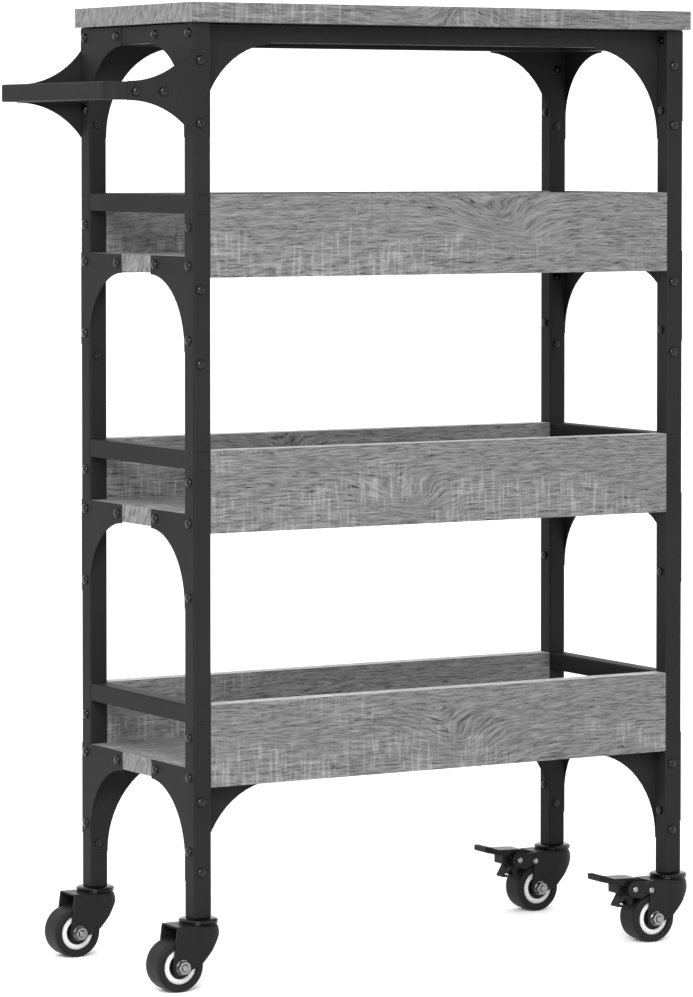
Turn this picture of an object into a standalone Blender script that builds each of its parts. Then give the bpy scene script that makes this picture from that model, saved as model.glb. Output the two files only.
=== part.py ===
"""Kitchen island cart: a slim four-level trolley on casters, with a push handle at one end.

Metres, +Z up. Cart coordinates have x along the cart from the left posts' outer face, y across it
from the front posts' outer face and z up from the floor. SHIFT moves them so that the origin is the
centre of the whole cart's footprint. The handle is at -X, and every caster trails towards -X.
"""

import math

import bmesh
import bpy
from mathutils import Matrix, Vector

GAP = 0.0003

# The frame of square tube
POST_SIDE = 0.017
POST_CORNER = 0.0014
FRAME_LENGTH = 0.530
FRAME_DEPTH = 0.222
POST_FOOT = 0.0650
FRAME_TOP = 0.872
STEM_BORE_RADIUS = 0.0045
STEM_BORE_DEPTH = 0.030

# The boards
WORKTOP_THICKNESS = 0.018
WORKTOP_OVERHANG_X = 0.005
WORKTOP_OVERHANG_FRONT = 0.0068
WORKTOP_OVERHANG_BACK = 0.0032
SHELF_THICKNESS = 0.016
PANEL_HEIGHT = 0.075
PANEL_THICKNESS = 0.017

# Each tray: its shelf's top, and the top edge of its panels and end rails
TRAYS = {
    "upper": {"shelf_top": 0.6617, "rim": 0.7176},
    "middle": {"shelf_top": 0.4297, "rim": 0.4870},
    "lower": {"shelf_top": 0.1998, "rim": 0.2574},
}

# Curved corner plates. An arm runs level, a tail runs down the post, and an arc joins them
PLATE_THICKNESS = 0.001
SIDE_REACH = 0.0818
SIDE_ARM_HEIGHT = 0.0175
SIDE_ARC_RADIUS = 0.066
SIDE_LENGTH = 0.086
INNER_REACH = 0.090
INNER_ARC_WIDTH = 0.076
INNER_ARC_HEIGHT = 0.084
INNER_LENGTH = 0.103
INNER_TIP = 0.001

# The handle and its two side plates
HANDLE_REACH = 0.0868
HANDLE_SIDE = 0.0162
HANDLE_BEND = 0.011
HANDLE_HEIGHT = 0.8103
HORN_REACH = 0.0666
HORN_TIP_FLAT = 0.0021
HORN_TIP_HEIGHT = 0.0174
HORN_LENGTH = 0.082
HORN_ARC_RADIUS = 0.0805

# The casters, in their own coordinates: x and y from the swivel axis, z from the floor
TRAIL = 0.0244
WHEEL_RADIUS = 0.0234
WHEEL_HALF_WIDTH = 0.0132
AXLE_RADIUS = 0.003
RUNNING_CLEARANCE = 0.00005
CAP_RADIUS = 0.0173
CAP_LOW = 0.0600
CAP_TOP = 0.0647
STEM_TOP = 0.094
STEM_RADIUS = 0.0042
KINGPIN_RADIUS = 0.004
FORK_TOP = 0.0597
FORK_PLATE_LOW = 0.052
FORK_FRONT = 0.0290
FORK_BACK = 0.0204
FORK_ROUND_START = -0.006
FORK_HALF_WIDTH = 0.0156
FORK_WALL = 0.0018
CHEEK_END_RADIUS = 0.009
FORK_BACK_EDGE = (
    (-0.0030, 0.0240),
    (0.0030, 0.0298),
    (0.0090, 0.0356),
    (0.0140, 0.0422),
    (0.0175, 0.0470),
    (0.0221, 0.0500),
)
EAR_RADIUS = 0.008
PEDAL_PIVOT = (-0.048, 0.053)
PEDAL_PIN_RADIUS = 0.002
PEDAL_HALF_WIDTH = 0.0108
BRAKE_HALF_WIDTH = 0.0082

WHEEL_STEPS = 32
PIN_STEPS = 20
ARC_STEPS = 14

RIGHT_REACH = FRAME_LENGTH - POST_SIDE / 2 + FORK_BACK + GAP
SHIFT = Vector(((HANDLE_REACH - RIGHT_REACH) / 2, -FRAME_DEPTH / 2, 0))
ENDS = ("left", "right")
SIDES = ("front", "back")


def clear_scene():
    for obj in list(bpy.data.objects):
        bpy.data.objects.remove(obj)


def new_collection(name):
    collection = bpy.data.collections.new(name)
    bpy.context.scene.collection.children.link(collection)
    return collection


def new_material(name, colour, metallic, roughness):
    material = bpy.data.materials.new(name)
    material.use_nodes = True
    material.diffuse_color = (*colour, 1)
    shader = material.node_tree.nodes["Principled BSDF"]
    shader.inputs["Base Color"].default_value = (*colour, 1)
    shader.inputs["Metallic"].default_value = metallic
    shader.inputs["Roughness"].default_value = roughness
    return material


clear_scene()
CART = new_collection("kitchen_island_cart")
TOOLS = new_collection("tools")
STEEL = new_material("black_steel", (0.02, 0.02, 0.022), 0.0, 0.3)
BOARD = new_material("oak_laminate", (0.36, 0.33, 0.30), 0.0, 0.6)
PLASTIC = new_material("black_plastic", (0.02, 0.02, 0.02), 0.0, 0.45)
CHROME = new_material("bright_steel", (0.75, 0.75, 0.76), 1.0, 0.15)
RUBBER = new_material("wheel_rubber", (0.03, 0.03, 0.03), 0.0, 0.6)


def add_object(name, mesh_data, material, location):
    """Turns mesh_data into an object of the cart, with its origin at location in cart coordinates."""
    bmesh.ops.recalc_face_normals(mesh_data, faces=mesh_data.faces)
    mesh = bpy.data.meshes.new(name)
    mesh_data.to_mesh(mesh)
    mesh_data.free()
    mesh.materials.append(material)
    obj = bpy.data.objects.new(name, mesh)
    obj.location = Vector(location) + SHIFT
    CART.objects.link(obj)
    return obj


def shape_with(obj, operation, mesh_data):
    """Joins mesh_data to obj or cuts it away, where mesh_data is in obj's own coordinates."""
    name = f"{obj.name}_{operation.lower()}_{len(obj.modifiers)}"
    tool = add_object(name, mesh_data, obj.data.materials[0], obj.location - SHIFT)
    CART.objects.unlink(tool)
    TOOLS.objects.link(tool)
    tool.hide_render = True
    tool.display_type = "WIRE"
    boolean = obj.modifiers.new(operation.lower(), "BOOLEAN")
    boolean.operation = operation
    boolean.solver = "EXACT"
    boolean.object = tool


def prism(outline, axis, low, high):
    """A flat outline drawn out along an axis. The outline's pairs are the other two axes, in order."""
    mesh_data = bmesh.new()
    index = "xyz".index(axis)
    layers = []
    for level in (low, high):
        layer = []
        for first, second in outline:
            point = [first, second]
            point.insert(index, level)
            layer.append(mesh_data.verts.new(point))
        layers.append(layer)
        mesh_data.faces.new(layer)
    bottom, top = layers
    for here in range(len(outline)):
        there = (here + 1) % len(outline)
        mesh_data.faces.new((bottom[here], bottom[there], top[there], top[here]))
    return mesh_data


def box(low, high):
    outline = [(low[0], low[1]), (high[0], low[1]), (high[0], high[1]), (low[0], high[1])]
    return prism(outline, "z", low[2], high[2])


def arc(centre, radii, start, end, steps):
    """Points of a circle's or an ellipse's arc, with its angles in degrees."""
    points = []
    for step in range(steps + 1):
        angle = math.radians(start + (end - start) * step / steps)
        points.append((centre[0] + radii[0] * math.cos(angle), centre[1] + radii[1] * math.sin(angle)))
    return points


def tube(axis, across, low, high):
    """A square tube with rounded corners, filled in so that it stays one simple solid.

    across is the section's lower corner in the other two axes.
    """
    outline = []
    near = POST_CORNER
    far = POST_SIDE - POST_CORNER
    for corner, (first, second) in enumerate(((far, far), (near, far), (near, near), (far, near))):
        centre = (across[0] + first, across[1] + second)
        outline += arc(centre, (near, near), 90 * corner, 90 * corner + 90, 2)
    return prism(outline, axis, low, high)


def turned(profile, axis, steps, closed=False):
    """Turns a profile of (radius, height) pairs about an axis. A closed profile leaves a bore."""
    mesh_data = bmesh.new()
    index = "xyz".index(axis)
    rings = []
    for radius, height in profile:
        count = steps if radius > 0 else 1
        ring = []
        for step in range(count):
            angle = 2 * math.pi * (step + 0.5) / steps
            point = [radius * math.cos(angle), radius * math.sin(angle)]
            point.insert(index, height)
            ring.append(mesh_data.verts.new(point))
        rings.append(ring)
    pairs = list(zip(rings, rings[1:]))
    if closed:
        pairs.append((rings[-1], rings[0]))
    for one, two in pairs:
        for step in range(steps):
            corners = []
            for ring, place in ((one, step), (one, step + 1), (two, step + 1), (two, step)):
                vertex = ring[place % len(ring)]
                if vertex not in corners:
                    corners.append(vertex)
            if len(corners) > 2:
                mesh_data.faces.new(corners)
    return mesh_data


def rod(radius, axis, low, high, at=(0, 0, 0)):
    mesh_data = turned([(0, low), (radius, low), (radius, high), (0, high)], axis, PIN_STEPS)
    bmesh.ops.transform(mesh_data, matrix=Matrix.Translation(at), verts=mesh_data.verts)
    return mesh_data


def from_end(end, distance):
    """The x that lies this far in from the outer face of the posts at one end."""
    return distance if end == "left" else FRAME_LENGTH - distance


def from_side(side, distance):
    """The y that lies this far in from the outer face of the posts at one side."""
    return distance if side == "front" else FRAME_DEPTH - distance


def both(one, two):
    return min(one, two), max(one, two)


def make_end_frame(end):
    """Two posts with a top rail and three end rails welded between them, bored for caster stems."""
    low_x, high_x = both(from_end(end, 0), from_end(end, POST_SIDE))
    frame = add_object(
        f"end_frame_{end}",
        tube("z", (low_x, 0), POST_FOOT, FRAME_TOP),
        STEEL,
        (0, 0, 0),
    )
    back_y = FRAME_DEPTH - POST_SIDE
    shape_with(frame, "UNION", tube("z", (low_x, back_y), POST_FOOT, FRAME_TOP))
    tops = [FRAME_TOP] + [tray["rim"] for tray in TRAYS.values()]
    for top in tops:
        rail = tube("y", (low_x, top - POST_SIDE), POST_SIDE / 2, FRAME_DEPTH - POST_SIDE / 2)
        shape_with(frame, "UNION", rail)
    for side in SIDES:
        centre = ((low_x + high_x) / 2, from_side(side, POST_SIDE / 2), 0)
        bore = rod(STEM_BORE_RADIUS, "z", POST_FOOT - 0.01, POST_FOOT + STEM_BORE_DEPTH, centre)
        shape_with(frame, "DIFFERENCE", bore)


def make_top_rail(side):
    low_y, high_y = both(
        from_side(side, POST_SIDE + GAP),
        from_side(side, 2 * POST_SIDE + GAP),
    )
    low_x = POST_SIDE + GAP
    rail = tube("x", (low_y, FRAME_TOP - POST_SIDE), low_x, FRAME_LENGTH - low_x)
    add_object(f"top_rail_{side}", rail, STEEL, (0, 0, 0))


def make_worktop():
    low = (-WORKTOP_OVERHANG_X, -WORKTOP_OVERHANG_FRONT, FRAME_TOP + GAP)
    high = (
        FRAME_LENGTH + WORKTOP_OVERHANG_X,
        FRAME_DEPTH + WORKTOP_OVERHANG_BACK,
        FRAME_TOP + WORKTOP_THICKNESS,
    )
    add_object("worktop", box(low, high), BOARD, (0, 0, 0))


def make_tray(name, shelf_top, rim):
    """A shelf that runs out between the posts at both ends, and a panel along each side of it."""
    inset = POST_SIDE + GAP
    low = (0, inset, shelf_top - SHELF_THICKNESS)
    high = (FRAME_LENGTH, FRAME_DEPTH - inset, shelf_top)
    add_object(f"shelf_{name}", box(low, high), BOARD, (0, 0, 0))
    for side in SIDES:
        low_y, high_y = both(from_side(side, 0), from_side(side, PANEL_THICKNESS))
        panel = box(
            (inset, low_y, rim - PANEL_HEIGHT),
            (FRAME_LENGTH - inset, high_y, rim),
        )
        add_object(f"panel_{side}_{name}", panel, BOARD, (0, 0, 0))


def side_gusset_outline():
    """(distance in from the post's outer edge, height from the plate's top edge) pairs."""
    centre = (POST_SIDE + SIDE_ARC_RADIUS, -SIDE_ARM_HEIGHT - SIDE_ARC_RADIUS)
    radii = (SIDE_ARC_RADIUS, SIDE_ARC_RADIUS)
    return [
        (0, 0),
        (SIDE_REACH, 0),
        *arc(centre, radii, 91, 180, ARC_STEPS),
        (POST_SIDE, -SIDE_LENGTH),
        (0, -SIDE_LENGTH),
    ]


def inner_gusset_outline():
    centre = (POST_SIDE + INNER_ARC_WIDTH, -POST_SIDE - INNER_TIP - INNER_ARC_HEIGHT)
    radii = (INNER_ARC_WIDTH, INNER_ARC_HEIGHT)
    return [
        (0, -POST_SIDE - GAP),
        (INNER_REACH, -POST_SIDE - GAP),
        *arc(centre, radii, 94, 180, ARC_STEPS),
        (POST_SIDE, -INNER_LENGTH),
        (0, -INNER_LENGTH),
    ]


def make_side_gusset(level, top, end, side):
    """A plate on the outer end face of a post, with its arm over the rail or shelf end beside it."""
    low_x, high_x = both(from_end(end, -GAP), from_end(end, -GAP - PLATE_THICKNESS))
    outline = [(from_side(side, inward), top + up) for inward, up in side_gusset_outline()]
    plate = prism(outline, "x", low_x, high_x)
    add_object(f"side_gusset_{level}_{end}_{side}", plate, STEEL, (0, 0, 0))


def make_inner_gusset(level, top, end, side):
    """A plate on the inner face of a post, just under the rail or shelf that it holds up."""
    low_y, high_y = both(
        from_side(side, POST_SIDE + GAP),
        from_side(side, POST_SIDE + GAP + PLATE_THICKNESS),
    )
    outline = [(from_end(end, inward), top + up) for inward, up in inner_gusset_outline()]
    plate = prism(outline, "y", low_y, high_y)
    add_object(f"inner_gusset_{level}_{end}_{side}", plate, STEEL, (0, 0, 0))


def make_handle():
    """A bar with a tight outer corner at each end and two arms back to the gussets on the posts."""
    arm_end = -PLATE_THICKNESS - 2 * GAP
    near = -HANDLE_REACH + HANDLE_BEND
    front = HANDLE_BEND
    back = FRAME_DEPTH - HANDLE_BEND
    outer = [
        (arm_end, 0),
        *arc((near, front), (HANDLE_BEND, HANDLE_BEND), 270, 180, 6),
        *arc((near, back), (HANDLE_BEND, HANDLE_BEND), 180, 90, 6),
        (arm_end, FRAME_DEPTH),
    ]
    inner = [
        (arm_end, HANDLE_SIDE),
        (HANDLE_SIDE - HANDLE_REACH, HANDLE_SIDE),
        (HANDLE_SIDE - HANDLE_REACH, FRAME_DEPTH - HANDLE_SIDE),
        (arm_end, FRAME_DEPTH - HANDLE_SIDE),
    ]
    bar = prism(
        outer + inner[::-1],
        "z",
        HANDLE_HEIGHT - HANDLE_SIDE / 2,
        HANDLE_HEIGHT + HANDLE_SIDE / 2,
    )
    add_object("handle", bar, STEEL, (0, 0, 0))


def make_handle_plate(side):
    """A horn-shaped plate that holds one arm of the handle on the outer face of its post."""
    low_y, high_y = both(from_side(side, -GAP), from_side(side, -GAP - PLATE_THICKNESS))
    half_tip = HORN_TIP_HEIGHT / 2
    half_root = HORN_LENGTH / 2
    radii = (HORN_ARC_RADIUS, HORN_ARC_RADIUS)
    centre_x = HORN_TIP_FLAT - HORN_REACH
    edge = math.degrees(math.acos(-centre_x / HORN_ARC_RADIUS))
    above = arc((centre_x, half_tip + HORN_ARC_RADIUS), radii, -90, -edge, ARC_STEPS)
    outline = [(-HORN_REACH, half_tip), *above, (POST_SIDE, half_root)]
    outline += [(first, -second) for first, second in outline[::-1]]
    outline = [(first, HANDLE_HEIGHT + second) for first, second in outline]
    add_object(f"handle_plate_{side}", prism(outline, "y", low_y, high_y), STEEL, (0, 0, 0))


def fork_round(grow, start, end):
    """The half ellipse of the fork's back seen from above, this much outside its outer face."""
    centre = (FORK_ROUND_START, 0)
    radii = (FORK_BACK - FORK_ROUND_START + grow, FORK_HALF_WIDTH + grow)
    return arc(centre, radii, start, end, 2 * ARC_STEPS)


def fork_plate_outline():
    """The fork's top seen from above: round behind the swivel axis and straight over the wheel."""
    half = FORK_HALF_WIDTH + GAP
    return [(-FORK_FRONT, -half), *fork_round(GAP, -90, 90), (-FORK_FRONT, half)]


def fork_wall_outline():
    """The fork's walls seen from above: two cheeks joined by a rounded back."""
    half = FORK_HALF_WIDTH
    inner = half - FORK_WALL
    end = PEDAL_PIVOT[0] - EAR_RADIUS - 0.002
    return [
        (end, -half),
        *fork_round(0, -90, 90),
        (end, half),
        (end, inner),
        *fork_round(-FORK_WALL, 90, -90),
        (end, -inner),
    ]


def fork_side_outline(braked):
    """What is left of those walls seen from the side: a rounded end about the axle, a back edge
    that sweeps up from it, and on a braked fork an ear that carries the pedal's pin."""
    first = FORK_BACK_EDGE[0]
    slope = math.degrees(math.atan2(first[1] - WHEEL_RADIUS, first[0] + TRAIL))
    reach = math.hypot(first[1] - WHEEL_RADIUS, first[0] + TRAIL)
    touch = slope - math.degrees(math.acos(CHEEK_END_RADIUS / reach))
    end = arc((-TRAIL, WHEEL_RADIUS), (CHEEK_END_RADIUS, CHEEK_END_RADIUS), 180, 360 + touch, ARC_STEPS)
    front = [(-FORK_FRONT, FORK_TOP + GAP)]
    if braked:
        ear = arc(PEDAL_PIVOT, (EAR_RADIUS, EAR_RADIUS), 70, 255, ARC_STEPS)
        front += [(-FORK_FRONT, FORK_TOP - 0.001), *ear, (-FORK_FRONT - 0.0015, 0.038)]
    return front + end + list(FORK_BACK_EDGE) + [(0.0221, FORK_TOP + GAP)]


def pedal_outline():
    """The pedal's arm seen from the side, with its raised tread at the left."""
    return [
        (-0.0330, 0.0580),
        (-0.0360, 0.0610),
        (-0.0420, 0.0630),
        (-0.0500, 0.0636),
        (-0.0600, 0.0638),
        (-0.0690, 0.0643),
        (-0.0780, 0.0666),
        (-0.0840, 0.0684),
        (-0.0852, 0.0679),
        (-0.0852, 0.0632),
        (-0.0840, 0.0624),
        (-0.0740, 0.0600),
        (-0.0640, 0.0576),
        (-0.0560, 0.0560),
        (-0.0530, 0.0485),
        (-0.0440, 0.0470),
        (-0.0360, 0.0540),
    ]


def brake_outline():
    """The block under the arm seen from the side, with the brake shoe below the pin."""
    return [
        (-0.0410, 0.0600),
        (-0.0634, 0.0600),
        (-0.0632, 0.0496),
        (-0.0625, 0.0490),
        (-0.0560, 0.0480),
        (-0.0510, 0.0370),
        (-0.0468, 0.0370),
        (-0.0446, 0.0460),
    ]


def make_stem(name, where):
    """The stem is fixed in the post, and its lower end is the pin that the fork turns on."""
    profile = [
        (0, STEM_TOP),
        (STEM_RADIUS - 0.001, STEM_TOP),
        (STEM_RADIUS, STEM_TOP - 0.001),
        (STEM_RADIUS, CAP_TOP),
        (CAP_RADIUS - 0.0008, CAP_TOP),
        (CAP_RADIUS, CAP_TOP - 0.0008),
        (CAP_RADIUS, CAP_LOW),
        (KINGPIN_RADIUS, CAP_LOW),
        (KINGPIN_RADIUS, FORK_PLATE_LOW - GAP),
        (0.0065, FORK_PLATE_LOW - GAP),
        (0.0065, FORK_PLATE_LOW - 0.003),
        (0, FORK_PLATE_LOW - 0.003),
    ]
    add_object(f"{name}_stem", turned(profile, "z", PIN_STEPS), CHROME, where)


def make_fork(name, where, braked):
    """A plate on the kingpin with a wall on each side of the wheel, and a pin if it has a pedal."""
    walls = prism(fork_wall_outline(), "z", 0.010, FORK_TOP - 0.001)
    fork = add_object(f"{name}_fork", walls, STEEL, where)
    side = prism(fork_side_outline(braked), "y", -2 * FORK_HALF_WIDTH, 2 * FORK_HALF_WIDTH)
    shape_with(fork, "INTERSECT", side)
    shape_with(fork, "UNION", prism(fork_plate_outline(), "z", FORK_PLATE_LOW, FORK_TOP))
    if braked:
        pin = rod(
            PEDAL_PIN_RADIUS,
            "y",
            -FORK_HALF_WIDTH - 0.001,
            FORK_HALF_WIDTH + 0.001,
            (PEDAL_PIVOT[0], 0, PEDAL_PIVOT[1]),
        )
        shape_with(fork, "UNION", pin)
    swivel_bore = rod(KINGPIN_RADIUS + 2 * RUNNING_CLEARANCE, "z", 0.045, 0.065)
    shape_with(fork, "DIFFERENCE", swivel_bore)
    axle_bore = rod(
        AXLE_RADIUS + RUNNING_CLEARANCE,
        "y",
        -0.02,
        0.02,
        (-TRAIL, 0, WHEEL_RADIUS),
    )
    shape_with(fork, "DIFFERENCE", axle_bore)


def make_wheel(name, where):
    """A hub, a web and a rounded tread, standing on one flat of its faceted rim."""
    rim = WHEEL_RADIUS / math.cos(math.pi / WHEEL_STEPS)
    half = WHEEL_HALF_WIDTH
    side = [
        (AXLE_RADIUS + RUNNING_CLEARANCE, half),
        (0.0085, half),
        (0.0085, half - 0.0022),
        (0.0168, half - 0.0014),
        (0.0176, half),
        (0.0216, half),
        (0.0228, half - 0.0010),
        (rim, half - 0.0040),
    ]
    profile = side + [(radius, -height) for radius, height in side[::-1]]
    wheel = turned(profile, "y", WHEEL_STEPS, closed=True)
    add_object(f"{name}_wheel", wheel, RUBBER, where)


def make_axle(name, where):
    out = FORK_HALF_WIDTH + 0.0042
    collar = FORK_HALF_WIDTH + GAP
    profile = [
        (0, out),
        (0.0066, out),
        (0.0066, collar),
        (AXLE_RADIUS, collar),
        (AXLE_RADIUS, -collar),
        (0.0066, -collar),
        (0.0066, -out),
        (0, -out),
    ]
    add_object(f"{name}_axle", turned(profile, "y", PIN_STEPS), CHROME, where)


def make_pedal(name, where):
    arm, brake = (
        [(x - PEDAL_PIVOT[0], z - PEDAL_PIVOT[1]) for x, z in outline]
        for outline in (pedal_outline(), brake_outline())
    )
    pedal = add_object(
        name,
        prism(arm, "y", -PEDAL_HALF_WIDTH, PEDAL_HALF_WIDTH),
        PLASTIC,
        where,
    )
    shape_with(pedal, "UNION", prism(brake, "y", -BRAKE_HALF_WIDTH, BRAKE_HALF_WIDTH))
    bore = rod(PEDAL_PIN_RADIUS + RUNNING_CLEARANCE, "y", -0.02, 0.02)
    shape_with(pedal, "DIFFERENCE", bore)


def make_caster(end, side):
    """One caster under a post. Those at the right end have a brake pedal."""
    name = f"caster_{end}_{side}"
    swivel = Vector((from_end(end, POST_SIDE / 2), from_side(side, POST_SIDE / 2), 0))
    axle = swivel + Vector((-TRAIL, 0, WHEEL_RADIUS))
    braked = end == "right"
    make_stem(name, swivel)
    make_fork(name, swivel, braked)
    make_wheel(name, axle)
    make_axle(name, axle)
    if braked:
        pivot = swivel + Vector((PEDAL_PIVOT[0], 0, PEDAL_PIVOT[1]))
        make_pedal(f"{name}_pedal", pivot)


def build():
    for end in ENDS:
        make_end_frame(end)
    for side in SIDES:
        make_top_rail(side)
    make_worktop()
    for name, tray in TRAYS.items():
        make_tray(name, tray["shelf_top"], tray["rim"])
    gusset_tops = {"top": FRAME_TOP - 0.001}
    gusset_tops.update({name: tray["shelf_top"] for name, tray in TRAYS.items()})
    for end in ENDS:
        for side in SIDES:
            for level, top in gusset_tops.items():
                make_side_gusset(level, top, end, side)
            make_inner_gusset("top", FRAME_TOP, end, side)
            make_inner_gusset("lower", TRAYS["lower"]["shelf_top"], end, side)
            make_caster(end, side)
    make_handle()
    for side in SIDES:
        make_handle_plate(side)


build()
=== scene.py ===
"""How the kitchen island cart looks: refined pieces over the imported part, materials, light and camera.

Cart coordinates are used throughout: x along the cart from the left posts' outer face, y across it
from the front posts' outer face, z up from the floor, in metres. ORIGIN takes them to the frame.
"""

import math

import bmesh
import bpy
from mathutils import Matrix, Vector


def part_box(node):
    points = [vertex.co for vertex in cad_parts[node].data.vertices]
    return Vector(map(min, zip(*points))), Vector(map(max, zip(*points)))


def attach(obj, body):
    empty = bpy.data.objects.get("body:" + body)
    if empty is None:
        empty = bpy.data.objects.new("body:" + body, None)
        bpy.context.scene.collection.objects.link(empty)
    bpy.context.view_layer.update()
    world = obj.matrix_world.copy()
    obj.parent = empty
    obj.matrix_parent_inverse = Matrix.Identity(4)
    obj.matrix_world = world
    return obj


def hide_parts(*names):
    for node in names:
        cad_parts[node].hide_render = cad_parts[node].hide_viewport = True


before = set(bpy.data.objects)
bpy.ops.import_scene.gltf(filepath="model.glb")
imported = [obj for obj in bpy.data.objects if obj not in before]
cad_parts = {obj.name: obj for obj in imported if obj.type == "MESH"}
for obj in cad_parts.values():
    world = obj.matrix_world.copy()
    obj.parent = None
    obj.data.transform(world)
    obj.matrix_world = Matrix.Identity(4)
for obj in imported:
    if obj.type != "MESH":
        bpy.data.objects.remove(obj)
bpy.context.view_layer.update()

ORIGIN = Vector((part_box("end_frame_left")[0].x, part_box("end_frame_left")[0].y, 0))
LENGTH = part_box("end_frame_right")[1].x - ORIGIN.x
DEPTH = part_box("end_frame_left")[1].y - ORIGIN.y
ENDS = ("left", "right")
SIDES = ("front", "back")
LEVELS = ("top", "upper", "middle", "lower")

# Square tube and plate. Each post's faces stand POST_SWELL outside the CAD's. The outer plates are moved
# in by PLATE_SINK, which leaves them PLATE_OUT outside the CAD's posts. The inner plates' top edges, the
# vertices within PLATE_TOP of the highest, are raised by PLATE_LAP.
POST = 0.017
POST_SWELL = 0.0005
TUBE_CORNER = 0.0018
RAIL_LAP = 0.001
PLATE_SINK = 0.0006
PLATE_OUT = 0.0007
PLATE_TOP = 0.0006
PLATE_LAP = 0.0016
PLATE_EDGE = 0.0002
BAR_CORNER = 0.0016

# Weld beads and the seams on the posts' faces: where they lie, and outlines of (radius, distance along)
BEAD_INSET = 0.0015
BEAD_SINK = 0.0004
SEAM_INSET = 0.0035
SEAM_SINK = 0.0001
SEAM_DROP = 0.0006
WELD_BEAD = ((0, 0), (0.0007, 0), (0.0009, 0.007), (0.0007, POST - 0.003), (0, POST - 0.003))
SEAM = ((0, 0), (0.0004, 0.0006), (0.0004, 0.0110), (0, 0.0116))

# Boards. A heart is how far in y and z a log's heart lies from the board's middle, and its drift in y.
BOARD_EDGE = 0.0005
EDGE_STRIP_AREA = 0.00125
OAK_GREY = 0.099
# Shares of the oak grey by board. The worktop's share is its own tone. The shelves' and back panels' larger
# shares are painted light: lighter tones that stand for the light falling on the shelf tops and into the
# cart's inside.
OAK_TONE_AND_LIGHT_SHARES = (("worktop", 0.88), ("shelf", 1.6), ("panel_back", 1.3))
UPRIGHT_HEART = (0.050, -0.090, 0.035)
FLAT_HEART = (-0.09, 0.040, 0.05)
RING_PITCH = 0.0085
RING_WANDER = 0.022
RING_RIPPLE = 0.0020
KNOT_LENGTH = 0.045
KNOT_HEIGHT = 0.018
KNOT_PUSH = 0.017

# Screws, in from the posts' outer edges and down from a plate's top edge. The post bolts above
# HORN_FOOT hold the handle plates, and those from there down to BARE_FOOT hold no plate.
HEAD_RADIUS = 0.0044
HEAD_HEIGHT = 0.0030
NUT_RADIUS = 0.0040
NUT_HEIGHT = 0.0028
SCREW_INSET = POST / 2
ARM_SCREW = 0.0732
TAIL_SCREW = 0.0755
POST_BOLT_HEIGHTS = (0.838, 0.7815, 0.632, 0.565, 0.170, 0.106)
PANEL_SCREW_HEIGHTS = (0.688, 0.458, 0.2273)
HORN_BOLT_PLACES = (-0.0580, -0.0305)
HORN_BOLT_HEIGHT = 0.8096
HORN_NUT_INSET = 0.015
POST_BOLT_SHIFT = -0.0018
HORN_FOOT = 0.7
BARE_FOOT = 0.5

# Casters, from the swivel axis
TRAIL = 0.0244
WHEEL_RADIUS = 0.0234
FORK_TOP = 0.0597
FORK_SHOULDER = 0.0020
FORK_DOME_DEPTH = 0.0105
FORK_DOME_INSET = 0.0056
FORK_STEP = 0.0022
FORK_HALF_WIDTH = 0.0158
FORK_SHEET = 0.0018
FORK_FRONT = 0.0290
FORK_FRONT_LOW = 0.0336
FORK_BACK = 0.0206
FORK_ROUND_START = -0.006
CHEEK_GAP = 0.0008
CHEEK_END_RADIUS = 0.009
CHEEK_STEPS = 14
ROUND_STEPS = 32
FORK_ROWS = 22
ROW_CROWDING = 1.6
BACK_EDGE = (
    (-0.0160, 0.0200),
    (-0.0030, 0.0240),
    (0.0030, 0.0298),
    (0.0090, 0.0356),
    (0.0140, 0.0422),
    (0.0175, 0.0470),
    (0.0221, 0.0500),
)
PEDAL_PIVOT = (-0.048, 0.053)
EAR_RADIUS = 0.0078
EAR_CLEARANCE = 0.0022
EAR_EDGE = 0.0004
SHORT_RIVET = (-0.0296, 0.0509)
RIVET_DOME = (
    (0, -0.0006),
    (0.0029, -0.0006),
    (0.0029, 0.0003),
    (0.0025, 0.0009),
    (0.0015, 0.0013),
    (0, 0.0014),
)
PEDAL_EDGE = 0.0006
PEDAL_RIBS = 4
RIB_PITCH = 0.0032
RIB_FALL = 0.0010
RIB_HALF_WIDTH = 0.0096
SPRING_SHEET = 0.0011
SPRING_EDGE = 0.0002
SPRING_HALF_WIDTH = 0.0060

# Camera: where it stands, how far it turns from +Y towards +X, and how far down it looks
CAMERA_PLACE = Vector((-1.89161, -3.51801, 0.75131))
CAMERA_TURN = 0.52768
CAMERA_DROP = 0.03639
CAMERA_LENS = 160.787
CAMERA_SHIFT = -0.18

# Light: each lamp's name, place, aim, width and power
WORLD_STRENGTH = 1.5
LAMPS = (
    ("overhead", (-0.8, 0.0, 3.2), (0, 0, 0.5), 2.6, 10),
    ("softbox", (-1.9, -2.9, 2.3), (0, 0, 0.45), 1.9, 150),
)
FLOOR_REACH = 30


# Geometry helpers


def at(x, y, z):
    """A place in the frame, from cart coordinates."""
    return Vector((x, y, z)) + ORIGIN


def from_end(end, distance):
    """The x that lies this far in from the outer face of the posts at one end."""
    return distance if end == "left" else LENGTH - distance


def from_side(side, distance):
    """The y that lies this far in from the outer face of the posts at one side."""
    return distance if side == "front" else DEPTH - distance


def arc(centre, radius, start, end, steps):
    """Points of a circle's arc, with its angles in degrees."""
    points = []
    for step in range(steps + 1):
        angle = math.radians(start + (end - start) * step / steps)
        points.append((centre[0] + radius * math.cos(angle), centre[1] + radius * math.sin(angle)))
    return points


def prism(mesh_data, outline, axis, low, high):
    """Adds a flat outline drawn out along an axis. The outline's pairs are the other two axes."""
    index = "xyz".index(axis)
    layers = []
    for level in (low, high):
        layer = []
        for first, second in outline:
            point = [first, second]
            point.insert(index, level)
            layer.append(mesh_data.verts.new(at(*point)))
        layers.append(layer)
        mesh_data.faces.new(layer)
    bottom, top = layers
    for here in range(len(outline)):
        there = (here + 1) % len(outline)
        mesh_data.faces.new((bottom[here], bottom[there], top[there], top[here]))


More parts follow.
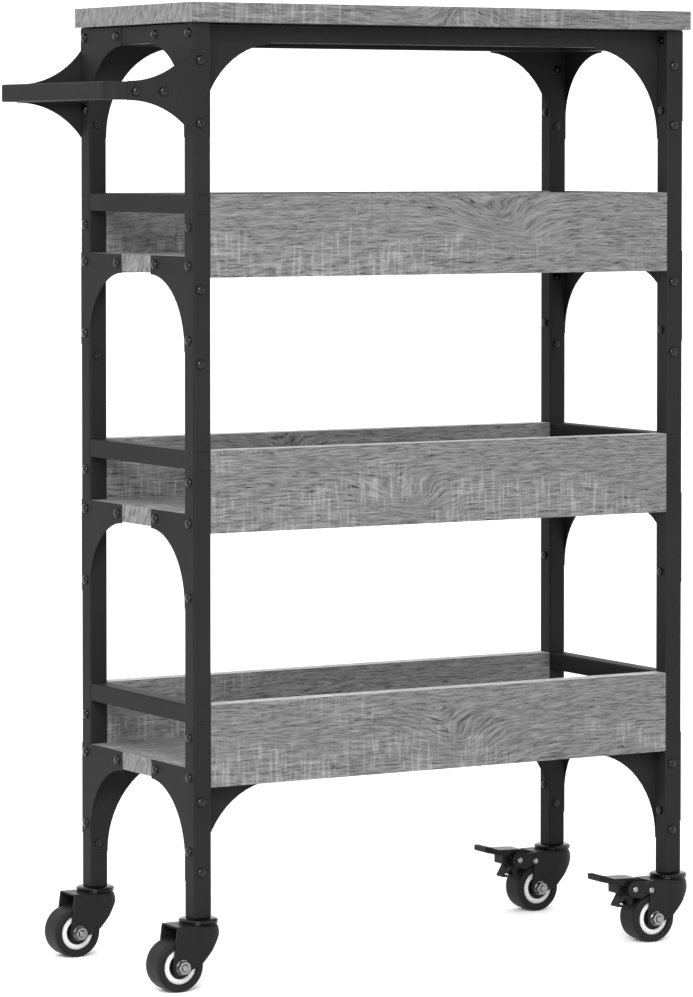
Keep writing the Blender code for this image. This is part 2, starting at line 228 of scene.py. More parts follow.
def rounded_tube(mesh_data, axis, across, side, corner, low, high):
    """Adds a square bar with round corners. across is its section's lower corner."""
    outline = []
    near = corner
    far = side - corner
    for turn, (first, second) in enumerate(((far, far), (near, far), (near, near), (far, near))):
        centre = (across[0] + first, across[1] + second)
        outline += arc(centre, corner, 90 * turn, 90 * turn + 90, 4)
    prism(mesh_data, outline, axis, low, high)


def turned(mesh_data, profile, steps, place, facing, hexagons=()):
    """Adds a profile of (radius, height) pairs turned about an axis through place.

    facing is the direction of height. The rings whose numbers are in hexagons get six flat sides.
    """
    aim = Vector(facing).to_track_quat("Z", "Y").to_matrix().to_4x4()
    aim.translation = place
    rings = []
    for number, (radius, height) in enumerate(profile):
        ring = []
        for step in range(steps if radius > 0 else 1):
            angle = 2 * math.pi * (step + 0.5) / steps
            reach = radius
            if number in hexagons:
                reach *= math.cos(math.pi / 6) / math.cos(angle % (math.pi / 3) - math.pi / 6)
            point = Vector((reach * math.cos(angle), reach * math.sin(angle), height))
            ring.append(mesh_data.verts.new(aim @ point))
        rings.append(ring)
    for one, two in zip(rings, rings[1:]):
        for step in range(steps):
            corners = []
            for ring, index in ((one, step), (one, step + 1), (two, step + 1), (two, step)):
                vertex = ring[index % len(ring)]
                if vertex not in corners:
                    corners.append(vertex)
            if len(corners) > 2:
                mesh_data.faces.new(corners)


def soften(mesh_data, width, segments=2, angle=30):
    """Rounds the edges where two faces meet at more than this angle."""
    limit = math.radians(angle)
    edges = [e for e in mesh_data.edges if len(e.link_faces) == 2 and e.calc_face_angle(0) > limit]
    bmesh.ops.bevel(
        mesh_data,
        geom=edges,
        offset=width,
        segments=segments,
        profile=0.5,
        affect="EDGES",
        clamp_overlap=True,
    )


def cad_shape(node):
    """The CAD node's mesh with its vertices joined and its flat faces whole."""
    mesh_data = bmesh.new()
    mesh_data.from_mesh(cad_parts[node].data)
    bmesh.ops.remove_doubles(mesh_data, verts=mesh_data.verts, dist=1e-5)
    bmesh.ops.dissolve_limit(
        mesh_data,
        angle_limit=math.radians(0.5),
        verts=mesh_data.verts,
        edges=mesh_data.edges,
    )
    return mesh_data


def piece(name, mesh_data, materials, body="cart", nodes=(), sharp=35):
    """Turns mesh_data into an object that rides on a body and stands for the CAD nodes named."""
    bmesh.ops.recalc_face_normals(mesh_data, faces=mesh_data.faces)
    mesh = bpy.data.meshes.new(name)
    mesh_data.to_mesh(mesh)
    mesh_data.free()
    for polygon in mesh.polygons:
        polygon.use_smooth = True
    mesh.set_sharp_from_angle(angle=math.radians(sharp))
    for material in materials:
        mesh.materials.append(material)
    obj = bpy.data.objects.new(name, mesh)
    bpy.context.scene.collection.objects.link(obj)
    weighted = obj.modifiers.new("weighted_normals", "WEIGHTED_NORMAL")
    weighted.keep_sharp = True
    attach(obj, body)
    if nodes:
        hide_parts(*nodes)
    return obj


# Materials


class Surface:
    """A material whose Principled shader is fed by procedural nodes."""

    def __init__(self, name, **constants):
        self.material = bpy.data.materials.new(name)
        self.material.use_nodes = True
        self.tree = self.material.node_tree
        self.shader = self.tree.nodes["Principled BSDF"]
        for key, value in constants.items():
            self.shader.inputs[key.replace("_", " ")].default_value = value
        self.place = self.node("TexCoord", {}).outputs["Object"]

    def node(self, kind, inputs, **settings):
        made = self.tree.nodes.new("ShaderNode" + kind)
        for key, value in settings.items():
            setattr(made, key, value)
        for key, value in inputs.items():
            if isinstance(value, bpy.types.NodeSocket):
                self.tree.links.new(value, made.inputs[key])
            else:
                made.inputs[key].default_value = value
        return made

    def math(self, operation, one, two=0.0, three=0.0):
        inputs = {0: one, 1: two, 2: three}
        return self.node("Math", inputs, operation=operation).outputs["Value"]

    def split(self, vector):
        parts = self.node("SeparateXYZ", {"Vector": vector}).outputs
        return parts["X"], parts["Y"], parts["Z"]

    def join(self, x, y, z):
        return self.node("CombineXYZ", {"X": x, "Y": y, "Z": z}).outputs["Vector"]

    def stretched(self, vector, stretch, shift=(0, 0, 0)):
        inputs = {0: vector, 1: stretch, 2: shift}
        return self.node("VectorMath", inputs, operation="MULTIPLY_ADD").outputs["Vector"]

    def noise(self, vector, detail=2.0, roughness=0.5, scale=1.0):
        inputs = {"Vector": vector, "Scale": scale, "Detail": detail, "Roughness": roughness}
        return self.node("TexNoise", inputs).outputs["Fac"]

    def rescale(self, value, low, high, new_low, new_high):
        inputs = {
            "Value": value,
            "From Min": low,
            "From Max": high,
            "To Min": new_low,
            "To Max": new_high,
        }
        return self.node("MapRange", inputs).outputs["Result"]

    def feed(self, key, value):
        self.tree.links.new(value, self.shader.inputs[key])

    def grey(self, value, tint=(1.0, 1.0, 1.0)):
        """Feeds the base colour with a grey of this value, times a tint."""
        parts = [self.math("MULTIPLY", value, share) for share in tint]
        colour = self.node("CombineColor", dict(zip(("Red", "Green", "Blue"), parts)))
        self.feed("Base Color", colour.outputs["Color"])

    def bump(self, height, distance, strength=1.0):
        inputs = {"Height": height, "Distance": distance, "Strength": strength}
        self.feed("Normal", self.node("Bump", inputs).outputs["Normal"])


def coated(name, grey, roughness, specular, grain, relief):
    """A black finish: slightly uneven in tone and gloss, with a fine grain in its surface."""
    made = Surface(name, Specular_IOR_Level=specular)
    broad = made.noise(made.place, detail=3.0, scale=14.0)
    fine = made.noise(made.place, detail=2.0, roughness=0.6, scale=grain)
    tone = made.rescale(broad, 0.3, 0.7, 0.88, 1.06)
    tone = made.math("MULTIPLY", tone, made.rescale(fine, 0.3, 0.7, 0.9, 1.1))
    made.grey(made.math("MULTIPLY", tone, grey))
    made.feed("Roughness", made.rescale(fine, 0.3, 0.7, roughness - 0.04, roughness + 0.05))
    made.bump(fine, relief)
    return made.material


def bright(name, grey, roughness, brush):
    """Bare or plated metal with fine turning marks."""
    made = Surface(name, Metallic=1.0)
    marks = made.noise(made.stretched(made.place, brush), detail=3.0, roughness=0.6)
    made.grey(made.rescale(marks, 0.3, 0.7, 0.85 * grey, 1.1 * grey), (1.0, 1.0, 1.01))
    made.feed("Roughness", made.rescale(marks, 0.3, 0.7, roughness, roughness + 0.12))
    made.bump(marks, 0.00003)
    return made.material


def oak(name, shift, grey, heart, contrast=1.0, swirl=(0.0, 0.0)):
    """Grey-washed oak laminate with its grain along X.

    The lines follow the distance from a log's heart, which lies nearly along the grain. heart is
    its (y, z) at the middle of the cart and its drift in y along the board. swirl is the (x, z) of
    the place where the lines bend round a knot. Saw marks cross the grain, most of them in the
    board's lower half and towards its left end.
    """
    made = Surface(name, Specular_IOR_Level=0.25)
    x, y, z = made.split(made.place)
    wander = made.noise(made.stretched(made.place, (3.5, 12.0, 12.0), shift), detail=1.0)
    ripple = made.noise(made.stretched(made.place, (36.0, 130.0, 130.0), shift), detail=2.0)
    patches = made.noise(made.stretched(made.place, (10.0, 22.0, 22.0), shift), detail=2.0)
    across = made.math("MULTIPLY", made.math("ADD", x, -swirl[0]), 1 / KNOT_LENGTH)
    upward = made.math("MULTIPLY", made.math("ADD", z, -swirl[1]), 1 / KNOT_HEIGHT)
    upward = made.math("MULTIPLY_ADD", across, 0.6, upward)
    upward = made.math("MULTIPLY_ADD", patches, 1.6, made.math("ADD", upward, -0.8))
    away = made.math("MULTIPLY_ADD", across, across, made.math("MULTIPLY", upward, upward))
    knot = made.math("EXPONENT", made.math("MULTIPLY", away, -1.0))
    depth = made.math("ADD", made.math("MULTIPLY_ADD", x, heart[2], -heart[0]), y)
    height = made.math("ADD", z, -heart[1])
    radius = made.math("MULTIPLY_ADD", depth, depth, made.math("MULTIPLY", height, height))
    radius = made.math("SQRT", radius)
    radius = made.math("MULTIPLY_ADD", wander, RING_WANDER, radius)
    radius = made.math("MULTIPLY_ADD", ripple, RING_RIPPLE, radius)
    radius = made.math("MULTIPLY_ADD", knot, KNOT_PUSH, radius)
    rings = made.math("SINE", made.math("MULTIPLY", radius, 2 * math.pi / RING_PITCH))
    along = made.math("MULTIPLY_ADD", x, 46.0, shift[0])
    outward = made.math("MULTIPLY", radius, 760.0)
    strokes = made.noise(made.join(along, outward, shift[1]), detail=3.0, roughness=0.7)
    along = made.math("MULTIPLY_ADD", x, 110.0, shift[2])
    outward = made.math("MULTIPLY", radius, 1300.0)
    pores = made.noise(made.join(along, outward, shift[0]), detail=1.0)
    pores = made.rescale(pores, 0.55, 0.70, 0.0, 1.0)
    where = made.math("ADD", patches, made.rescale(x, -0.25, 0.20, 0.13, -0.05))
    where = made.math("ADD", where, made.rescale(height, 0.080, 0.100, 0.08, -0.12))
    where = made.rescale(where, 0.50, 0.64, 0.0, 1.0)
    cuts = made.noise(made.stretched(made.place, (310.0, 34.0, 34.0), shift), detail=1.0)
    scores = made.noise(made.stretched(made.place, (26.0, 420.0, 420.0), shift), detail=1.0)
    cuts = made.rescale(cuts, 0.52, 0.66, 0.0, 1.0)
    scores = made.rescale(scores, 0.52, 0.68, 0.0, 0.6)
    saw = made.math("MULTIPLY", made.math("ADD", cuts, scores), where)
    tone = made.rescale(strokes, 0.28, 0.72, 1.0 - 0.60 * contrast, 1.0 + 0.60 * contrast)
    tone = made.math("MULTIPLY_ADD", rings, 0.05 * contrast, tone)
    tone = made.math("MULTIPLY_ADD", pores, -0.55 * contrast, tone)
    tone = made.math("MULTIPLY_ADD", saw, 0.50 * contrast, tone)
    made.grey(made.math("MULTIPLY", tone, grey))
    made.feed("Roughness", made.rescale(strokes, 0.3, 0.7, 0.62, 0.5))
    made.bump(tone, 0.00012)
    return made.material


def oak_end(name, grey):
    """The band on a board's short ends: fine strokes that lean across it."""
    made = Surface(name, Specular_IOR_Level=0.3)
    x, y, z = made.split(made.place)
    lean = made.math("MULTIPLY_ADD", z, 0.55, y)
    rise = made.math("MULTIPLY_ADD", y, -0.55, z)
    place = made.join(
        made.math("MULTIPLY", x, 60.0),
        made.math("MULTIPLY", lean, 360.0),
        made.math("MULTIPLY", rise, 80.0),
    )
    strokes = made.noise(place, detail=2.0, roughness=0.6)
    tone = made.rescale(strokes, 0.3, 0.7, 0.45, 1.55)
    made.grey(made.math("MULTIPLY", tone, grey))
    made.feed("Roughness", made.rescale(strokes, 0.3, 0.7, 0.62, 0.5))
    made.bump(strokes, 0.0001)
    return made.material


TUBE_STEEL = coated("tube_steel", 0.0125, 0.50, 0.05, 900.0, 0.00004)
PLATE_STEEL = coated("plate_steel", 0.0125, 0.50, 0.05, 900.0, 0.00004)
FORK_STEEL = coated("fork_steel", 0.0108, 0.32, 0.06, 700.0, 0.00004)
SCREW_BLACK = coated("screw_black", 0.0008, 0.09, 0.28, 1500.0, 0.00002)
CAP_BLACK = coated("cap_black", 0.0015, 0.16, 0.20, 1200.0, 0.00002)
PEDAL_BLACK = coated("pedal_black", 0.0040, 0.30, 0.12, 800.0, 0.00006)
TYRE = coated("tyre_rubber", 0.0090, 0.50, 0.10, 500.0, 0.00006)
HUB_BLACK = coated("hub_black", 0.0050, 0.35, 0.20, 900.0, 0.00003)
WHEEL_RING = coated("wheel_ring", 0.50, 0.40, 0.40, 900.0, 0.00003)
BRIGHT_STEEL = bright("bright_steel", 0.23, 0.20, (900.0, 60.0, 900.0))
# The pale oak for board edge strips and panel tops is a painted highlight: it stands for light from above
# catching the edges.
EDGE_HIGHLIGHT_PAINT = oak("oak_edge_painted_highlight", (3.1, 7.7, 1.9), 0.34, (0.02, 0.30, 0.02), 0.7)
END_BAND = oak_end("oak_end_band", 0.125)


# Frame


def make_end_frames():
    """Both welded end frames, with round-cornered posts and rails.

    A bead runs along each weld, and short dark seams cross the posts' faces level with the rails.
    """
    tops = [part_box("top_rail_front")[1].z]
    tops += [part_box(f"panel_front_{level}")[1].z for level in LEVELS[1:]]
    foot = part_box("end_frame_left")[0].z
    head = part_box("end_frame_left")[1].z
    for end in ENDS:
        low_x = min(from_end(end, 0), from_end(end, POST))
        shape = bmesh.new()
        for low_y in (0, DEPTH - POST):
            across = (low_x - POST_SWELL, low_y - POST_SWELL)
            rounded_tube(shape, "z", across, POST + 2 * POST_SWELL, TUBE_CORNER, foot, head)
        for top in tops:
            across = (low_x, top - POST)
            near = POST - RAIL_LAP
            far = DEPTH - POST + RAIL_LAP
            rounded_tube(shape, "y", across, POST, TUBE_CORNER, near, far)
            for side in SIDES:
                for height in (top - BEAD_SINK, top - POST + BEAD_SINK):
                    centre = at(low_x + BEAD_INSET, from_side(side, POST), height)
                    turned(shape, WELD_BEAD, 8, centre, (1, 0, 0))
        seams = bmesh.new()
        for top in tops[1:]:
            for side in SIDES:
                for height in (top - SEAM_DROP, top - POST - SEAM_DROP):
                    centre = at(low_x + SEAM_INSET, from_side(side, SEAM_SINK - POST_SWELL), height)
                    turned(seams, SEAM, 8, centre, (1, 0, 0))
        name = f"end_frame_{end}"
        piece(f"{name}_tubes", shape, [TUBE_STEEL], nodes=[name])
        piece(f"{name}_seams", seams, [CAP_BLACK])


def make_rails():
    """The two rails under the worktop."""
    for side in SIDES:
        node = f"top_rail_{side}"
        low, high = (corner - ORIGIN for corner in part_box(node))
        shape = bmesh.new()
        rounded_tube(shape, "x", (low.y, low.z), POST, TUBE_CORNER, low.x, high.x)
        piece(f"{node}_tube", shape, [TUBE_STEEL], nodes=[node])


def make_plates():
    """Every gusset and handle plate, with its cut edges broken.

    The outer ones are bedded a little into their posts, and the inner ones lap up behind the rail.
    """
    for node in sorted(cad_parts):
        if "gusset" in node or "handle_plate" in node:
            shape = cad_shape(node)
            soften(shape, PLATE_EDGE)
            moved = shape.verts[:]
            if "side_gusset" in node:
                move = Vector((PLATE_SINK if "_left_" in node else -PLATE_SINK, 0, 0))
            elif "handle_plate" in node:
                move = Vector((0, PLATE_SINK if "front" in node else -PLATE_SINK, 0))
            else:
                top = max(vertex.co.z for vertex in moved)
                moved = [vertex for vertex in moved if vertex.co.z > top - PLATE_TOP]
                move = Vector((0, 0, PLATE_LAP))
            bmesh.ops.translate(shape, vec=move, verts=moved)
            piece(f"{node}_plate", shape, [PLATE_STEEL], nodes=[node])


def make_handle():
    """The push handle, with its long edges rounded."""
    shape = cad_shape("handle")
    soften(shape, BAR_CORNER, 4, 40)
    piece("handle_bar", shape, [TUBE_STEEL], nodes=["handle"])


# Boards


def make_board(node, number):
    """A board with slightly rounded edges: laminate along it and a band on its short ends. Its edge strips
    that do not face down, and an upright panel's top face, get a pale oak that is a painted highlight for
    the light catching them.
    """
    low, high = (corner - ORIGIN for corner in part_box(node))
    shape = bmesh.new()
    outline = [(low.x, low.y), (high.x, low.y), (high.x, high.y), (low.x, high.y)]
    prism(shape, outline, "z", low.z, high.z)
    soften(shape, BOARD_EDGE)
    middle = (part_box(node)[0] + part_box(node)[1]) / 2
    upright = node.startswith("panel")
    shift = (1.7 * number, 2.3 * number + 0.4, 5.1 * number + 0.9)
    grey = OAK_GREY
    # Shelves and back panels are lightened here as painted light.
    for start, share in OAK_TONE_AND_LIGHT_SHARES:
        if node.startswith(start):
            grey *= share
    inward, above, drift = UPRIGHT_HEART if upright else FLAT_HEART
    heart = (middle.y + inward, middle.z + above, drift)
    swirl = (0.05 + 0.06 * math.sin(2.1 * number), middle.z + 0.012 * math.cos(1.7 * number))
    laminate = oak(f"oak_{node}", shift, grey, heart, swirl=swirl)
    finishes = [laminate, EDGE_HIGHLIGHT_PAINT, END_BAND]
    obj = piece(f"{node}_board", shape, finishes, nodes=[node])
    # Edge strips that do not face down, and the tops of upright panels, take the pale oak as a painted
    # highlight.
    for polygon in obj.data.polygons:
        upward = polygon.normal.z
        pale = polygon.area < EDGE_STRIP_AREA or (upright and upward > 0.9)
        if abs(polygon.normal.x) > 0.9:
            polygon.material_index = finishes.index(END_BAND)
        elif upward > -0.3 and pale:
            polygon.material_index = finishes.index(EDGE_HIGHLIGHT_PAINT)


def make_boards():
    """The worktop, the three shelves and the six panels, each with its own stretch of grain."""
    names = ["worktop"] + [f"shelf_{level}" for level in LEVELS[1:]]
    names += [f"panel_{side}_{level}" for side in SIDES for level in LEVELS[1:]]
    for number, node in enumerate(names):
        make_board(node, number)


# Screws


def add_head(shape, place, facing):
    """A domed head."""
    r = HEAD_RADIUS
    h = HEAD_HEIGHT
    profile = [
        (0, -0.0004),
        (r, -0.0004),
        (r, 0.10 * h),
        (0.97 * r, 0.34 * h),
        (0.86 * r, 0.60 * h),
        (0.68 * r, 0.80 * h),
        (0.44 * r, 0.94 * h),
        (0.20 * r, 0.99 * h),
        (0, h),
    ]
    turned(shape, profile, 24, place, facing)


def add_nut(shape, place, facing):
    """A six-sided nut with the end of its screw standing out of it."""
    r = NUT_RADIUS
    h = NUT_HEIGHT
    profile = [
        (0, -0.0004),
        (r, -0.0004),
        (r, 0.62 * h),
        (0.86 * r, 0.80 * h),
        (0.50 * r, 0.80 * h),
        (0.46 * r, h),
        (0.38 * r, 1.06 * h),
        (0, 1.06 * h),
    ]
    turned(shape, profile, 24, place, facing, hexagons=(1, 2))


def make_screws():
    """The heads on the outer faces of each post and the nuts on its inner faces."""
    for end in ENDS:
        outward_x = -1 if end == "left" else 1
        for side in SIDES:
            outward_y = -1 if side == "front" else 1
            heads = bmesh.new()
            nuts = bmesh.new()
            post_y = from_side(side, SCREW_INSET)
            for level in LEVELS:
                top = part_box(f"side_gusset_{level}_{end}_{side}")[1].z
                face = from_end(end, -PLATE_OUT)
                inner = from_end(end, POST + POST_SWELL)
                arm_place = at(face, from_side(side, ARM_SCREW), top - SCREW_INSET)
                add_head(heads, arm_place, (outward_x, 0, 0))
                for drop in (SCREW_INSET, TAIL_SCREW):
                    add_head(heads, at(face, post_y, top - drop), (outward_x, 0, 0))
                    if level == "top" or drop == TAIL_SCREW:
                        add_nut(nuts, at(inner, post_y, top - drop), (-outward_x, 0, 0))
            for height in PANEL_SCREW_HEIGHTS:
                add_head(heads, at(from_end(end, -POST_SWELL), post_y, height), (outward_x, 0, 0))
            for height in POST_BOLT_HEIGHTS:
                on_horn = end == "left" and height > HORN_FOOT
                out = PLATE_OUT if on_horn else POST_SWELL
                behind = POST_SWELL if BARE_FOOT < height < HORN_FOOT else PLATE_OUT
                x = from_end(end, SCREW_INSET) + POST_BOLT_SHIFT
                add_head(heads, at(x, from_side(side, -out), height), (0, outward_y, 0))
                add_nut(nuts, at(x, from_side(side, POST + behind), height), (0, -outward_y, 0))
            if end == "left":
                for x in HORN_BOLT_PLACES:
                    head_place = at(x, from_side(side, -PLATE_OUT), HORN_BOLT_HEIGHT)
                    nut_place = at(x, from_side(side, HORN_NUT_INSET), HORN_BOLT_HEIGHT)
                    add_head(heads, head_place, (0, outward_y, 0))
                    add_nut(nuts, nut_place, (0, -outward_y, 0))
            piece(f"screw_heads_{end}_{side}", heads, [SCREW_BLACK])
            piece(f"screw_nuts_{end}_{side}", nuts, [SCREW_BLACK])


# Casters


def height_at(points, x):
    """The height of a line through these (x, z) points, at x."""
    for (x0, z0), (x1, z1) in zip(points, points[1:]):
        if x <= x1:
            return z0 + (z1 - z0) * (x - x0) / (x1 - x0)
    return points[-1][1]


def fork_low_edge(x):
    """The height of the fork's lower edge at this distance from the swivel axis."""
    inside = CHEEK_END_RADIUS**2 - (x + TRAIL) ** 2
    round_end = WHEEL_RADIUS - math.sqrt(max(0.0, inside))
    if x < -TRAIL:
        return round_end
    back = height_at(BACK_EDGE, x)
    if inside <= 0:
        return back
    if x < BACK_EDGE[0][0]:
        return min(back, round_end)
    return max(round_end, min(back, WHEEL_RADIUS + 0.01))


def make_fork(name, x0, y0, body, braked):
    """A pressed fork: a domed back under the cap, flat cheeks and a skirt that sweeps down."""
    length = FORK_ROUND_START + FORK_FRONT - CHEEK_GAP
    cheek = [-FORK_FRONT + length * step / CHEEK_STEPS for step in range(CHEEK_STEPS + 1)]
    reach = FORK_BACK - FORK_ROUND_START
    half = FORK_HALF_WIDTH - FORK_STEP
    plan = [(x, -FORK_HALF_WIDTH) for x in cheek]
    for step in range(ROUND_STEPS + 1):
        angle = math.radians(-90 + 180 * step / ROUND_STEPS)
        plan.append((FORK_ROUND_START + reach * math.cos(angle), half * math.sin(angle)))
    plan += [(x, FORK_HALF_WIDTH) for x in cheek[::-1]]
    shape = bmesh.new()
    grid = []
    for row in range(FORK_ROWS + 1):
        line = []
        for x, y in plan:
            forward = max(0.0, min(1.0, (FORK_ROUND_START - x) / (FORK_FRONT + FORK_ROUND_START)))
            backward = max(0.0, (x - FORK_ROUND_START) / reach)
            low = fork_low_edge(x - forward * (FORK_FRONT_LOW - FORK_FRONT))
            drop = (row / FORK_ROWS) ** ROW_CROWDING * (FORK_TOP - low)
            depth = FORK_SHOULDER + (FORK_DOME_DEPTH - FORK_SHOULDER) * backward
            inset = FORK_SHOULDER + (FORK_DOME_INSET - FORK_SHOULDER) * backward
            above = 1 - min(1.0, drop / depth)
            inset *= 1 - math.sqrt(1 - above * above)
            lean = forward * (FORK_FRONT_LOW - FORK_FRONT) * drop / (FORK_TOP - WHEEL_RADIUS)
            side_x = x * (1 - backward * inset / FORK_BACK) - lean
            side_y = y * (1 - inset / FORK_HALF_WIDTH)
            line.append(shape.verts.new(at(x0 + side_x, y0 + side_y, FORK_TOP - drop)))
        grid.append(line)
    for one, two in zip(grid, grid[1:]):
        for i in range(len(plan) - 1):
            shape.faces.new((one[i], one[i + 1], two[i + 1], two[i]))
    shape.faces.new(grid[0])
    obj = piece(f"{name}_pressed", shape, [FORK_STEEL], body, [name], 50)
    sheet = obj.modifiers.new("sheet", "SOLIDIFY")
    sheet.thickness = FORK_SHEET
    sheet.offset = -1
    obj.modifiers.move(1, 0)
    if braked:
        make_ears(name, x0, y0, body)


def make_ears(name, x0, y0, body):
    """The two arms that carry the pedal's pin, and the bright ends of the pin and the stop rivet."""
    outline = [(-0.026, 0.0592), (-0.036, 0.0592), (-0.043, 0.0602)]
    outline += arc(PEDAL_PIVOT, EAR_RADIUS, 78, 262, 14)
    outline += arc((-TRAIL, WHEEL_RADIUS), WHEEL_RADIUS + EAR_CLEARANCE, 128, 95, 8)
    outline += [(-0.0255, 0.0486)]
    shape = bmesh.new()
    for sign in (-1, 1):
        near = sign * (FORK_HALF_WIDTH - FORK_SHEET + 0.0001)
        far = sign * (FORK_HALF_WIDTH - 0.0002)
        points = [(x0 + x, z) for x, z in outline]
        prism(shape, points, "y", y0 + min(near, far), y0 + max(near, far))
    soften(shape, EAR_EDGE)
    piece(f"{name}_ears", shape, [FORK_STEEL], body)
    rivets = bmesh.new()
    for x, z in (PEDAL_PIVOT, SHORT_RIVET):
        for sign in (-1, 1):
            turned(rivets, RIVET_DOME, 24, at(x0 + x, y0 + sign * FORK_HALF_WIDTH, z), (0, sign, 0))
    piece(f"{name}_rivets", rivets, [BRIGHT_STEEL], body)


def make_cap(name, x0, y0):
    """The dust cap over the swivel bearing, with its rounded rim and groove, and the stem in it."""
    profile = [
        (0, 0.0940),
        (0.0034, 0.0940),
        (0.0042, 0.0932),
        (0.0042, 0.0647),
        (0.0120, 0.0647),
        (0.0146, 0.0645),
        (0.0166, 0.0640),
        (0.0177, 0.0632),
        (0.0181, 0.0623),
        (0.0178, 0.0616),
        (0.0171, 0.0613),
        (0.0171, 0.0609),
        (0.0178, 0.0606),
        (0.0179, 0.0603),
        (0.0175, 0.0600),
        (0.0060, 0.0600),
        (0.0060, 0.0500),
        (0, 0.0500),
    ]
    shape = bmesh.new()
    turned(shape, profile[::-1], 56, at(x0, y0, 0), (0, 0, 1))
    piece(f"{name}_cap", shape, [CAP_BLACK], nodes=[name])


def make_wheel(name, x0, y0, body):
    """A rubber tyre on a black hub, with a pale rounded ring on each side."""
    place = at(x0 - TRAIL, y0, WHEEL_RADIUS)
    tyre = [
        (0.0162, 0.0100),
        (0.0163, 0.0119),
        (0.0169, 0.0130),
        (0.0184, 0.0134),
        (0.0212, 0.0133),
        (0.0223, 0.0128),
        (0.0230, 0.0117),
        (0.0233, 0.0098),
        (0.0234, 0.0060),
    ]
    shape = bmesh.new()
    turned(shape, tyre + [(r, -h) for r, h in tyre[::-1]], 64, place, (0, 1, 0))
    piece(f"{name}_tyre", shape, [TYRE], body, [name])
    ring = [(0.0112, 0.0100), (0.0114, 0.0117), (0.0120, 0.0121), (0.0140, 0.0118), (0.0161, 0.0108)]
    hub = [(0.0031, 0.0132), (0.0072, 0.0132), (0.0080, 0.0124), (0.0086, 0.0096), (0.0114, 0.0092)]
    rings = bmesh.new()
    hubs = bmesh.new()
    for sign in (-1, 1):
        turned(rings, ring + [(0.0164, 0.0080)], 64, place, (0, sign, 0))
        turned(hubs, hub + [(0.0114, 0.0)], 48, place, (0, sign, 0))
    piece(f"{name}_rings", rings, [WHEEL_RING], body)
    piece(f"{name}_hub", hubs, [HUB_BLACK], body)


def make_axle(name, x0, y0, body):
    """The axle bolt: a washer and a six-sided head at the back, a washer and a nut at the front."""
    place = at(x0 - TRAIL, y0, WHEEL_RADIUS)
    face = FORK_HALF_WIDTH
    washer = [(0, face - 0.0002), (0.0068, face - 0.0002), (0.0070, face + 0.0001), (0.0068, face + 0.0006)]
    nut = [
        (0.0062, face + 0.0006),
        (0.0066, face + 0.0010),
        (0.0066, face + 0.0042),
        (0.0056, face + 0.0052),
    ]
    end = [
        (0.0036, face + 0.0052),
        (0.0031, face + 0.0044),
        (0.0028, face + 0.0062),
        (0.0020, face + 0.0067),
        (0, face + 0.0067),
    ]
    head = [(0.0030, face + 0.0053), (0, face + 0.0053)]
    shape = bmesh.new()
    turned(shape, washer + nut + end, 36, place, (0, -1, 0), hexagons=(5, 6))
    turned(shape, washer + nut + head, 36, place, (0, 1, 0), hexagons=(5, 6))
    core = [(0, -face), (0.0029, -face), (0.0029, face), (0, face)]
    turned(shape, core, 24, place, (0, 1, 0))
    piece(f"{name}_bolt", shape, [BRIGHT_STEEL], body, [name])


def make_pedal(name, x0, y0, body):
    """The pedal, with ribs on its tread and a bent spring strip under it."""
    shape = cad_shape(name)
    soften(shape, PEDAL_EDGE, 2, 25)
    piece(f"{name}_body", shape, [PEDAL_BLACK], body, [name])
    ribs = bmesh.new()
    for number in range(PEDAL_RIBS):
        x = -0.0825 + RIB_PITCH * number
        z = 0.0679 - RIB_FALL * number
        rib = [(x0 + x, z - 0.0006), (x0 + x + 0.0014, z - 0.0008), (x0 + x + 0.0011, z + 0.0004)]
        rib.append((x0 + x + 0.0003, z + 0.0006))
        prism(ribs, rib, "y", y0 - RIB_HALF_WIDTH, y0 + RIB_HALF_WIDTH)
    piece(f"{name}_ribs", ribs, [PEDAL_BLACK], body)
    outer = [(-0.0545, 0.0500), (-0.0560, 0.0470), (-0.0622, 0.0370), (-0.0616, 0.0358), (-0.0500, 0.0350)]
    inner = [(-0.0500, 0.0350 + SPRING_SHEET), (-0.0604, 0.0372), (-0.0546, 0.0464), (-0.0528, 0.0500)]
    strip = bmesh.new()
    points = [(x0 + x, z) for x, z in outer + inner]
    prism(strip, points, "y", y0 - SPRING_HALF_WIDTH, y0 + SPRING_HALF_WIDTH)
    soften(strip, SPRING_EDGE, 1)
    piece(f"{name}_spring", strip, [FORK_STEEL], body)


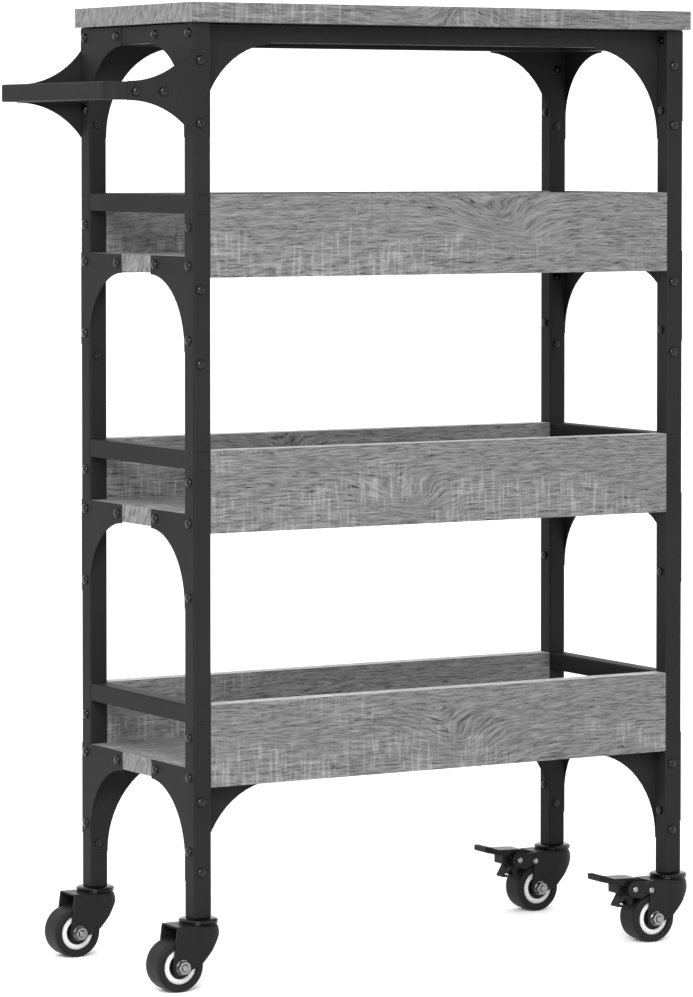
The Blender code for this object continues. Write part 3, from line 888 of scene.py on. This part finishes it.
def make_casters():
    """Four casters on their own bodies. The two at the right end have brake pedals."""
    for end in ENDS:
        for side in SIDES:
            name = f"caster_{end}_{side}"
            x0 = from_end(end, POST / 2)
            y0 = from_side(side, POST / 2)
            swivel = f"swivel_{end}_{side}"
            make_cap(f"{name}_stem", x0, y0)
            make_fork(f"{name}_fork", x0, y0, swivel, end == "right")
            make_wheel(f"{name}_wheel", x0, y0, f"wheel_{end}_{side}")
            make_axle(f"{name}_axle", x0, y0, swivel)
            if end == "right":
                make_pedal(f"{name}_pedal", x0, y0, f"pedal_{side}")


# Studio


def make_floor():
    """A wide pale floor."""
    made = Surface("floor_pale", Specular_IOR_Level=0.1)
    mottle = made.noise(made.place, detail=3.0, scale=3.0)
    made.grey(made.rescale(mottle, 0.3, 0.7, 0.95, 0.97))
    made.feed("Roughness", made.rescale(mottle, 0.3, 0.7, 0.8, 0.9))
    mesh_data = bmesh.new()
    bmesh.ops.create_grid(mesh_data, x_segments=1, y_segments=1, size=FLOOR_REACH)
    mesh = bpy.data.meshes.new("floor")
    mesh_data.to_mesh(mesh)
    mesh_data.free()
    mesh.materials.append(made.material)
    floor = bpy.data.objects.new("floor", mesh)
    bpy.context.scene.collection.objects.link(floor)


def add_light(name, place, target, size, power):
    """A round lamp at place that faces target."""
    light = bpy.data.lights.new(name, "AREA")
    light.shape = "DISK"
    light.size = size
    light.energy = power
    obj = bpy.data.objects.new(name, light)
    obj.location = place
    obj.rotation_euler = (Vector(target) - Vector(place)).to_track_quat("-Z", "Y").to_euler()
    bpy.context.scene.collection.objects.link(obj)


def make_studio():
    """The floor, an even white surround and the lamps."""
    make_floor()
    world = bpy.data.worlds.new("studio")
    world.use_nodes = True
    background = world.node_tree.nodes["Background"]
    background.inputs["Color"].default_value = (1, 1, 1, 1)
    background.inputs["Strength"].default_value = WORLD_STRENGTH
    bpy.context.scene.world = world
    for lamp in LAMPS:
        add_light(*lamp)
    bpy.context.scene.view_settings.view_transform = "Standard"


def make_camera():
    """The camera at the photo's angle."""
    data = bpy.data.cameras.new("photo_view")
    data.lens = CAMERA_LENS
    data.shift_y = CAMERA_SHIFT
    data.clip_end = 100
    camera = bpy.data.objects.new("photo_view", data)
    camera.location = CAMERA_PLACE + ORIGIN
    camera.rotation_euler = (math.pi / 2 - CAMERA_DROP, 0, -CAMERA_TURN)
    bpy.context.scene.collection.objects.link(camera)
    bpy.context.scene.camera = camera


make_end_frames()
make_rails()
make_plates()
make_handle()
make_boards()
make_screws()
make_casters()
make_studio()
make_camera()
